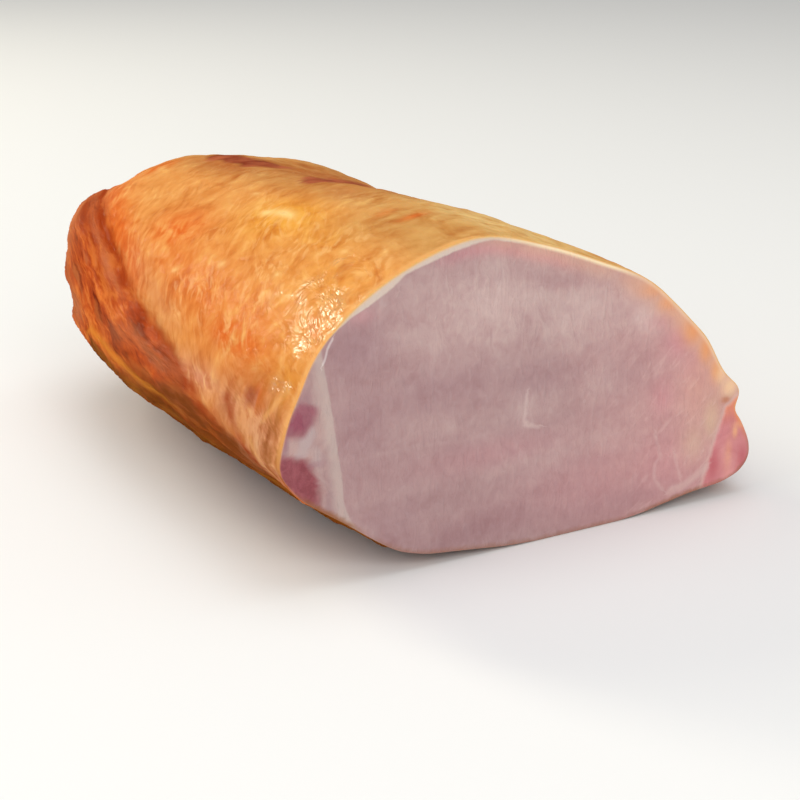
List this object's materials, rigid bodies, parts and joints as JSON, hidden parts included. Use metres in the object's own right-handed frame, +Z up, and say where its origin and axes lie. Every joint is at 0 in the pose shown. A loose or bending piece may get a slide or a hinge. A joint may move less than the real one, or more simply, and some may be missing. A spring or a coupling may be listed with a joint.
{
  "type": "smoked pork loin",
  "caption": "Chunk of boneless smoked pork loin lying fat side up: golden smoked outside, one flat fresh cut showing pale pink meat, and a rounded, dried end.",
  "frame": {"origin": "on the resting plane, under the middle of the bounding box", "axes": "+Z up, the flat cut faces -Y, the rounded end points to +Y, the thicker fat side is up"},
  "size_m": [0.1314, 0.1724, 0.0759],
  "materials": {
    "smoked_meat": "golden-orange smoked fat, greasy satin with fine crinkles, browner and redder on the lean side; the cut shows moist pale pink meat"
  },
  "bodies": {
    "root": {"loin": "smoked_meat"}
  },
  "joints": []
}
